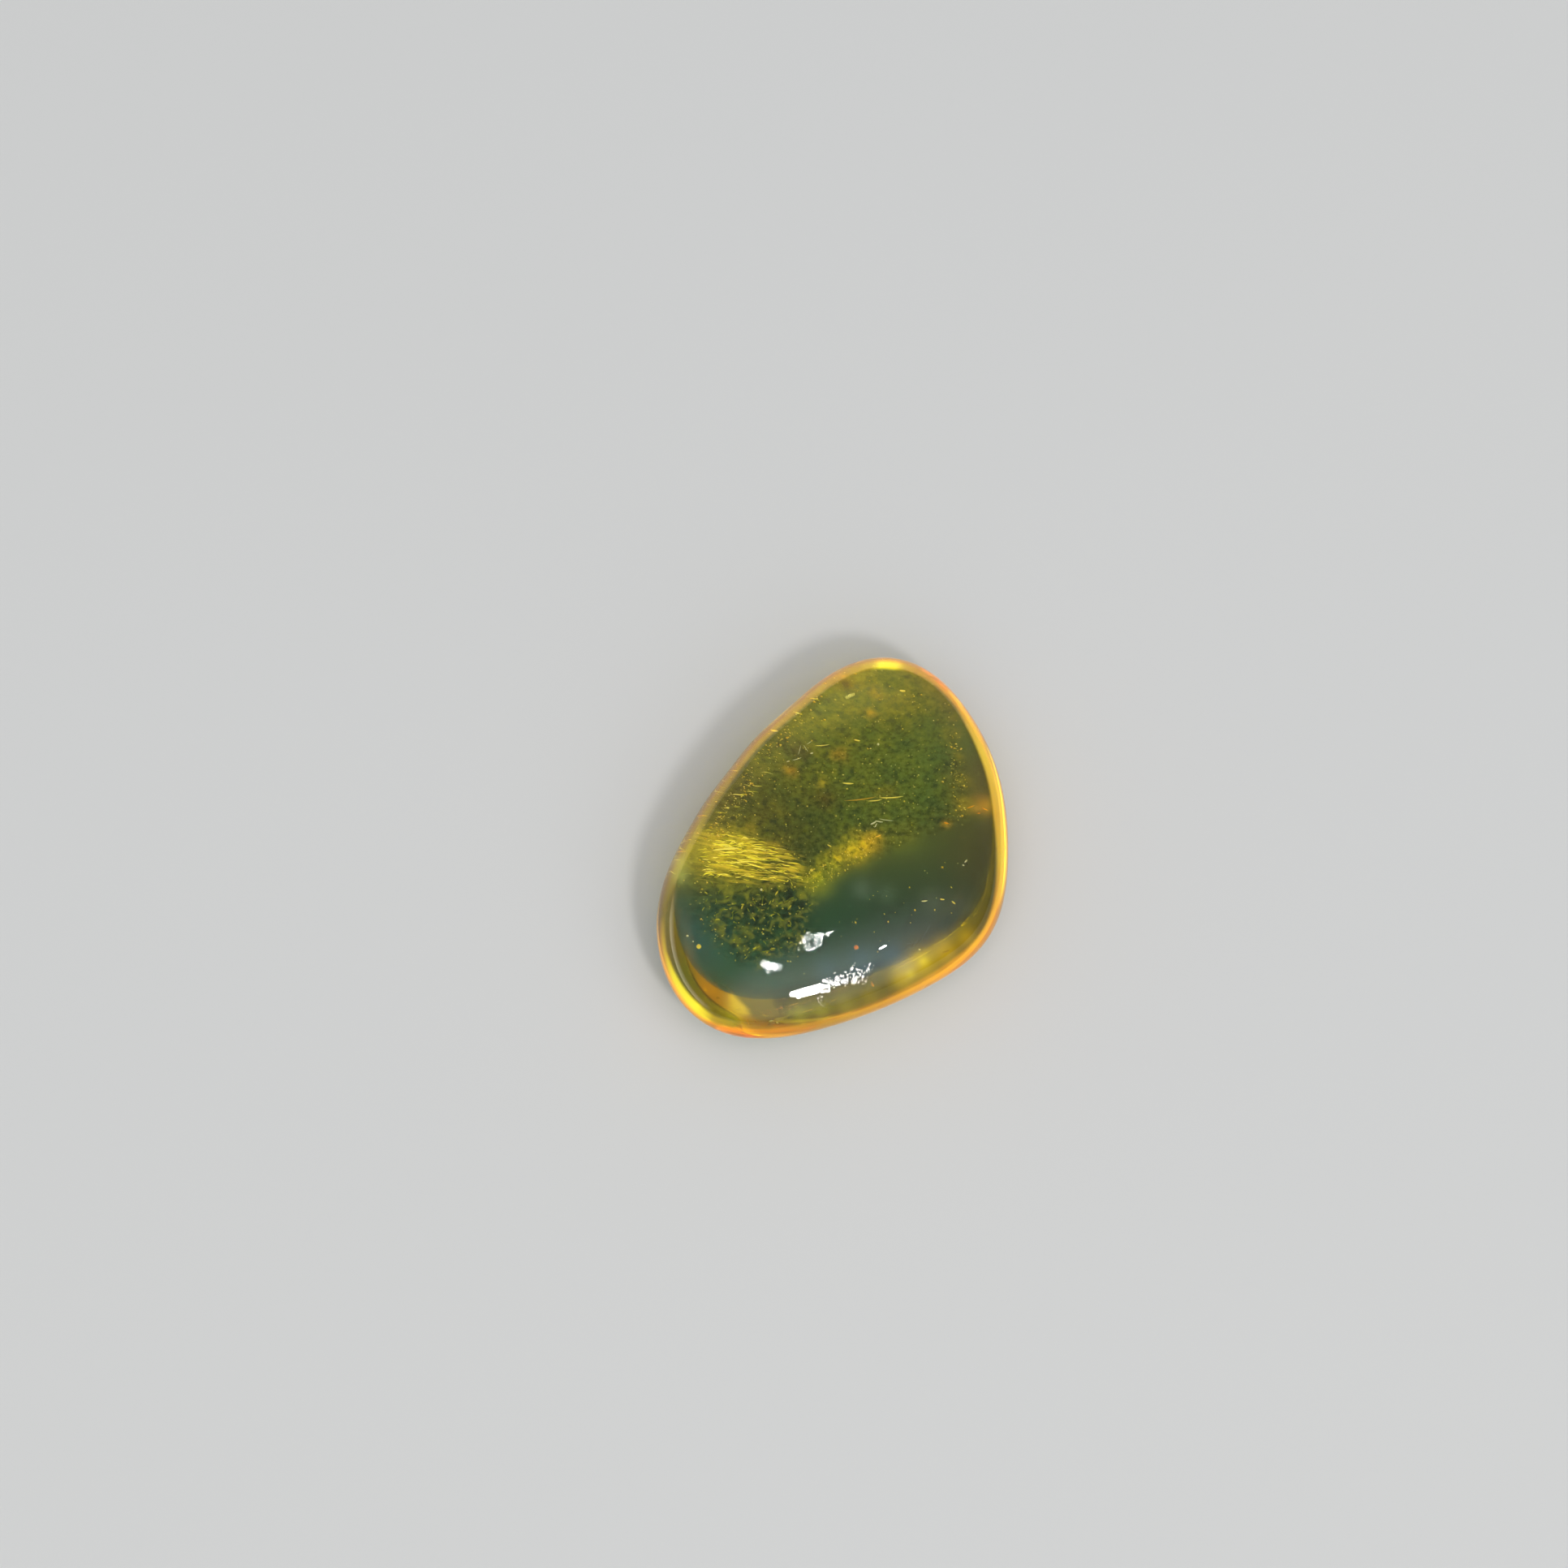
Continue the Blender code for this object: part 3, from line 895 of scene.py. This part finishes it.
def amber_colour(nodes, links):
    """The stone's tint, and over it the cloud's grain and specks, the scales' net and the streaks, each
    where its attribute says so. The tint's node is made first: with an absorption in the same material,
    Cycles reads a colour attribute as black where a value attribute's node comes before it."""
    place = nodes.new("ShaderNodeTexCoord").outputs["Object"]
    tint = attribute(nodes, "tint").outputs["Color"]
    cloud, scales, streaks = [attribute(nodes, name).outputs["Fac"] for name in ("cloud", "scales", "streaks")]
    fine = noise(nodes, links, place, 2300.0).outputs["Fac"]
    grain = colour_scale(nodes, links, fine, ((0.35, (0.27, 0.35, 0.38)), (0.65, (1.30, 1.25, 0.85))))
    colour = multiply(nodes, links, tint, blend(nodes, links, cloud, (1.0, 1.0, 1.0), grain))
    broad = noise(nodes, links, place, 620.0, 2.0).outputs["Fac"]
    patches = colour_scale(nodes, links, broad, ((0.38, (0.72, 0.80, 0.90)), (0.62, (1.3, 1.12, 0.85))))
    colour = multiply(nodes, links, colour, blend(nodes, links, cloud, (1.0, 1.0, 1.0), patches))
    cells = voronoi(nodes, links, wavered(nodes, links, place, 1500.0, 0.7 * MM), 1100.0, "DISTANCE_TO_EDGE")
    dark = colour_scale(nodes, links, cells.outputs["Distance"], ((0.06, (1, 1, 1)), (0.34, (0.38, 0.58, 1.0))))
    colour = multiply(nodes, links, colour, blend(nodes, links, scales, (1.0, 1.0, 1.0), dark))
    strand = colour_scale(nodes, links, cells.outputs["Distance"], ((0.0, (1, 1, 1)), (0.20, (0, 0, 0))))
    broken = noise(nodes, links, place, 1400.0, 1.0).outputs["Fac"]
    broken = colour_scale(nodes, links, broken, ((0.42, (0.0, 0.0, 0.0)), (0.66, (0.8, 0.8, 0.8))))
    strand = times(nodes, links, times(nodes, links, strand, broken), scales)
    colour = blend(nodes, links, strand, colour, (0.30, 0.36, 0.08))
    drawn = times(nodes, links, streaks, streak_pattern(nodes, links, place))
    colour = blend(nodes, links, drawn, colour, (1.0, 0.86, 0.14))
    dots = voronoi(nodes, links, place, 2400.0)
    bright = colour_scale(nodes, links, dots.outputs["Distance"], ((0.08, (1, 1, 1)), (0.20, (0, 0, 0))))
    chosen = colour_scale(nodes, links, dots.outputs["Color"], ((0.55, (0, 0, 0)), (0.75, (1, 1, 1))))
    speck = times(nodes, links, times(nodes, links, bright, chosen), cloud)
    return blend(nodes, links, speck, colour, (0.9, 0.78, 0.16))


def amber_material():
    """Clear amber: plain transmission over a plain absorption, with the light painted at its rim."""
    material = bpy.data.materials.new("clear_amber")
    material.use_nodes = True
    nodes, links = material.node_tree.nodes, material.node_tree.links
    shader = nodes["Principled BSDF"]
    shader.inputs["Roughness"].default_value = 0.02
    shader.inputs["IOR"].default_value = AMBER_IOR
    shader.inputs["Transmission Weight"].default_value = 1.0
    links.new(amber_colour(nodes, links), shader.inputs["Base Color"])
    # The skin glows with the light painted at its rim and in soft spots further in.
    links.new(attribute(nodes, "painted_rim_light").outputs["Color"], shader.inputs["Emission Color"])
    shader.inputs["Emission Strength"].default_value = 1.0
    place = nodes.new("ShaderNodeTexCoord").outputs["Object"]
    links.new(rough_normal(nodes, links, place), shader.inputs["Normal"])
    inside = nodes.new("ShaderNodeVolumeAbsorption")
    inside.inputs["Color"].default_value = INSIDE_COLOUR
    inside.inputs["Density"].default_value = INSIDE_DENSITY
    links.new(inside.outputs["Volume"], nodes["Material Output"].inputs["Volume"])
    return material


def make_floor():
    """A pale matt floor a little below the stone's flat belly."""
    mesh = bpy.data.meshes.new("floor")
    half, low = 1.5, -0.03 * MM
    mesh.from_pydata([(-half, -half, low), (half, -half, low), (half, half, low), (-half, half, low)],
                     [], [(0, 1, 2, 3)])
    floor = bpy.data.objects.new("floor", mesh)
    bpy.context.scene.collection.objects.link(floor)
    material = bpy.data.materials.new("pale_floor")
    material.use_nodes = True
    shader = material.node_tree.nodes["Principled BSDF"]
    shader.inputs["Base Color"].default_value = (0.80, 0.785, 0.76, 1.0)
    shader.inputs["Roughness"].default_value = 0.9
    shader.inputs["Specular IOR Level"].default_value = 0.1
    mesh.materials.append(material)


def add_light(name, place, target, width, height, power, roll=0.0):
    """An elliptical lamp, turned by the roll about its own beam."""
    data = bpy.data.lights.new(name, "AREA")
    data.shape = "ELLIPSE"
    data.size = width
    data.size_y = height
    data.energy = power
    light = bpy.data.objects.new(name, data)
    light.location = Vector(place)
    light.rotation_mode = "QUATERNION"
    aim = (Vector(target) - Vector(place)).to_track_quat("-Z", "Y")
    light.rotation_quaternion = aim @ Quaternion((0, 0, 1), roll)
    bpy.context.scene.collection.objects.link(light)
    return light


def glint_direction(pixel):
    """The crown's point at this pixel, and the direction from which a lamp is mirrored there."""
    points, rays = crown_hits([pixel])
    normal = crown_normal(points[:, 0], points[:, 1])
    mirrored = rays - 2 * (rays * normal).sum(axis=1)[:, None] * normal
    return points[0], mirrored[0]


def make_world():
    """A soft room: a plain sky by height, a bright stretch of horizon to the left, a broad glow in front."""
    world = bpy.data.worlds.new("studio")
    world.use_nodes = True
    bpy.context.scene.world = world
    nodes, links = world.node_tree.nodes, world.node_tree.links
    place = nodes.new("ShaderNodeTexCoord")
    parts = nodes.new("ShaderNodeSeparateXYZ")
    links.new(place.outputs["Generated"], parts.inputs["Vector"])
    sky = nodes.new("ShaderNodeValToRGB")
    set_stops(sky.color_ramp, SKY)
    links.new(parts.outputs["Z"], sky.inputs["Fac"])
    low = nodes.new("ShaderNodeValToRGB")
    set_stops(low.color_ramp, HORIZON_STOPS)
    links.new(parts.outputs["Z"], low.inputs["Fac"])
    side = world_glow(nodes, links, place, SIDE_GLOW, SIDE_STOPS)
    front = world_glow(nodes, links, place, FRONT_GLOW, FRONT_STOPS)
    side = multiply(nodes, links, side, low.outputs["Color"])
    total = add_up(nodes, links, add_up(nodes, links, sky.outputs["Color"], side), front)
    links.new(total, nodes["Background"].inputs["Color"])
    nodes["Background"].inputs["Strength"].default_value = 1.0


def world_glow(nodes, links, place, direction, stops):
    """A glow that fades away from a direction: a scale over the cosine of the angle to it."""
    toward = nodes.new("ShaderNodeVectorMath")
    toward.operation = "DOT_PRODUCT"
    toward.inputs[1].default_value = Vector(direction).normalized()
    links.new(place.outputs["Generated"], toward.inputs[0])
    glow = nodes.new("ShaderNodeValToRGB")
    glow.color_ramp.interpolation = "EASE"
    set_stops(glow.color_ramp, stops)
    links.new(toward.outputs["Value"], glow.inputs["Fac"])
    return glow.outputs["Color"]


def add_up(nodes, links, first, second):
    """The sum of two colours."""
    total = nodes.new("ShaderNodeMix")
    total.data_type = "RGBA"
    total.blend_type = "ADD"
    total.inputs["Factor"].default_value = 1.0
    links.new(first, total.inputs["A"])
    links.new(second, total.inputs["B"])
    return total.outputs["Result"]


def make_light():
    """The soft room, a lamp in front, and the lamps that are only seen mirrored."""
    make_world()
    point, direction = glint_direction(GLINTS[0][0])
    key = add_light("key", point + direction * KEY_DISTANCE, point, KEY_SIZE, KEY_SIZE, KEY_WATTS)
    key.visible_glossy = False
    for number, (pixel, width, height, roll, bright) in enumerate(GLINTS):
        point, direction = glint_direction(pixel)
        watts = WHITE_WATTS * bright * math.pi / 4 * width * height
        place = point + direction * GLINT_DISTANCE
        glint = add_light(f"glint_{number}", place, point, width, height, watts, math.radians(roll))
        glint.visible_diffuse = False
        glint.visible_transmission = False


make_camera()
make_floor()
make_light()

stone = make_stone()
stone.data.materials.append(amber_material())
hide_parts("amber")
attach(stone, "root")

grains = make_grains()
grains.data.materials.append(sealed_material("cloud_grain", GRAIN_COLOURS, 0.3, 0.8))
streaks = make_streaks()
# The splinters glow a little: painted light.
streaks.data.materials.append(sealed_material("golden_splinter", SPLINTER_COLOURS, 0.35, 0.3, 0.25))
cells = make_cells()
cells.data.materials.append(sealed_material("scaly_strand", STRAND_COLOURS, 0.4, 0.3))
flecks = make_flecks()
flecks.data.materials.append(sealed_material("fleck", FLECK_COLOURS, 0.35, 0.3))
for piece in (grains, streaks, cells, flecks):
    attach(piece, "root")

# Light that bends through the stone many times is followed to its end.
scene = bpy.context.scene
scene.view_settings.view_transform = "Standard"
scene.cycles.max_bounces = 24
scene.cycles.transmission_bounces = 24
scene.cycles.glossy_bounces = 12
scene.cycles.diffuse_bounces = 4
scene.cycles.sample_clamp_indirect = 4.0
